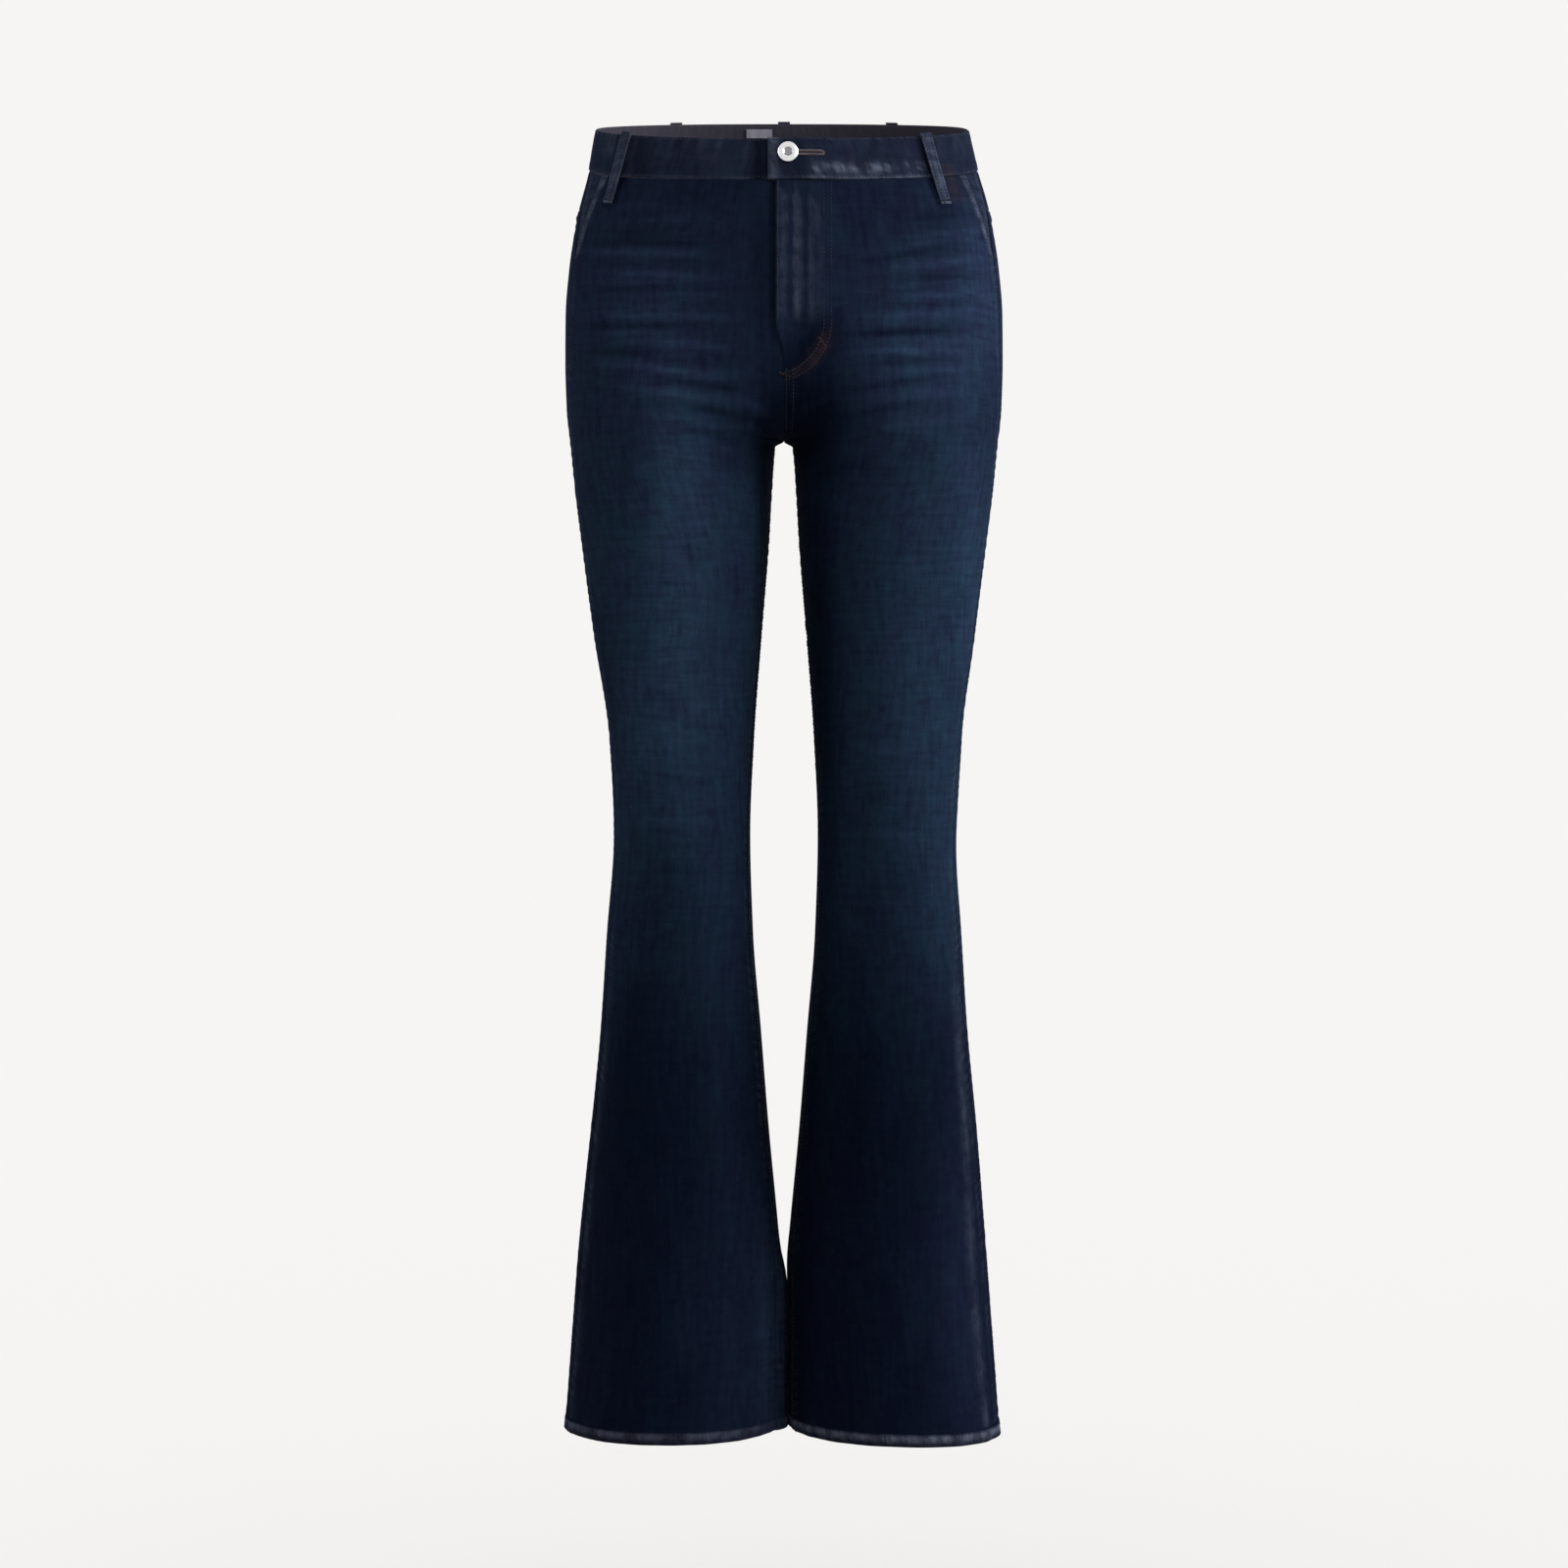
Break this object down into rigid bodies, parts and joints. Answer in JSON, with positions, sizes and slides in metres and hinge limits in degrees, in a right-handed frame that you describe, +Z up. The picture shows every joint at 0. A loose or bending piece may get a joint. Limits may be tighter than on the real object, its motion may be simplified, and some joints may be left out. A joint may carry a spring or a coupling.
{
  "type": "trouser jeans",
  "caption": "High-rise flared denim jeans in dark indigo, filled out as worn, with a lapped waistband, a fly, slanted front pockets and patch back pockets.",
  "frame": {"origin": "centre of the waist opening, level with the top edge of the waistband at the sides", "axes": "+Z up out of the waist, front faces -Y, the wearer's left leg is at +X"},
  "size_m": [0.3722, 0.2288, 1.1302],
  "materials": {
    "denim": "dark indigo twill, faded on the thighs, matt",
    "denim_trim": "dark indigo twill of the waistband and belt loops, worn lighter along the edges",
    "button_metal": "bright nickel shank button with a recessed middle",
    "label_cloth": "bare woven label",
    "thread": "sewing thread, navy along most seams and rust brown at the fly"
  },
  "bodies": {
    "root": {"front_left_upper": "denim", "front_left_lower": "denim", "front_right_upper": "denim", "front_right_lower": "denim", "back_left_upper": "denim", "back_left_lower": "denim", "back_right_upper": "denim", "back_right_lower": "denim", "yoke_left": "denim", "yoke_right": "denim", "pocket_facing_left": "denim", "pocket_facing_right": "denim", "back_pocket_left": "denim", "back_pocket_right": "denim", "waistband_left": "denim_trim", "waistband_right": "denim_trim", "belt_loop_front_left": "denim_trim", "belt_loop_front_right": "denim_trim", "belt_loop_back_left": "denim_trim", "belt_loop_back_right": "denim_trim", "belt_loop_back_middle": "denim_trim", "button": "button_metal", "label": "label_cloth"}
  },
  "joints": []
}
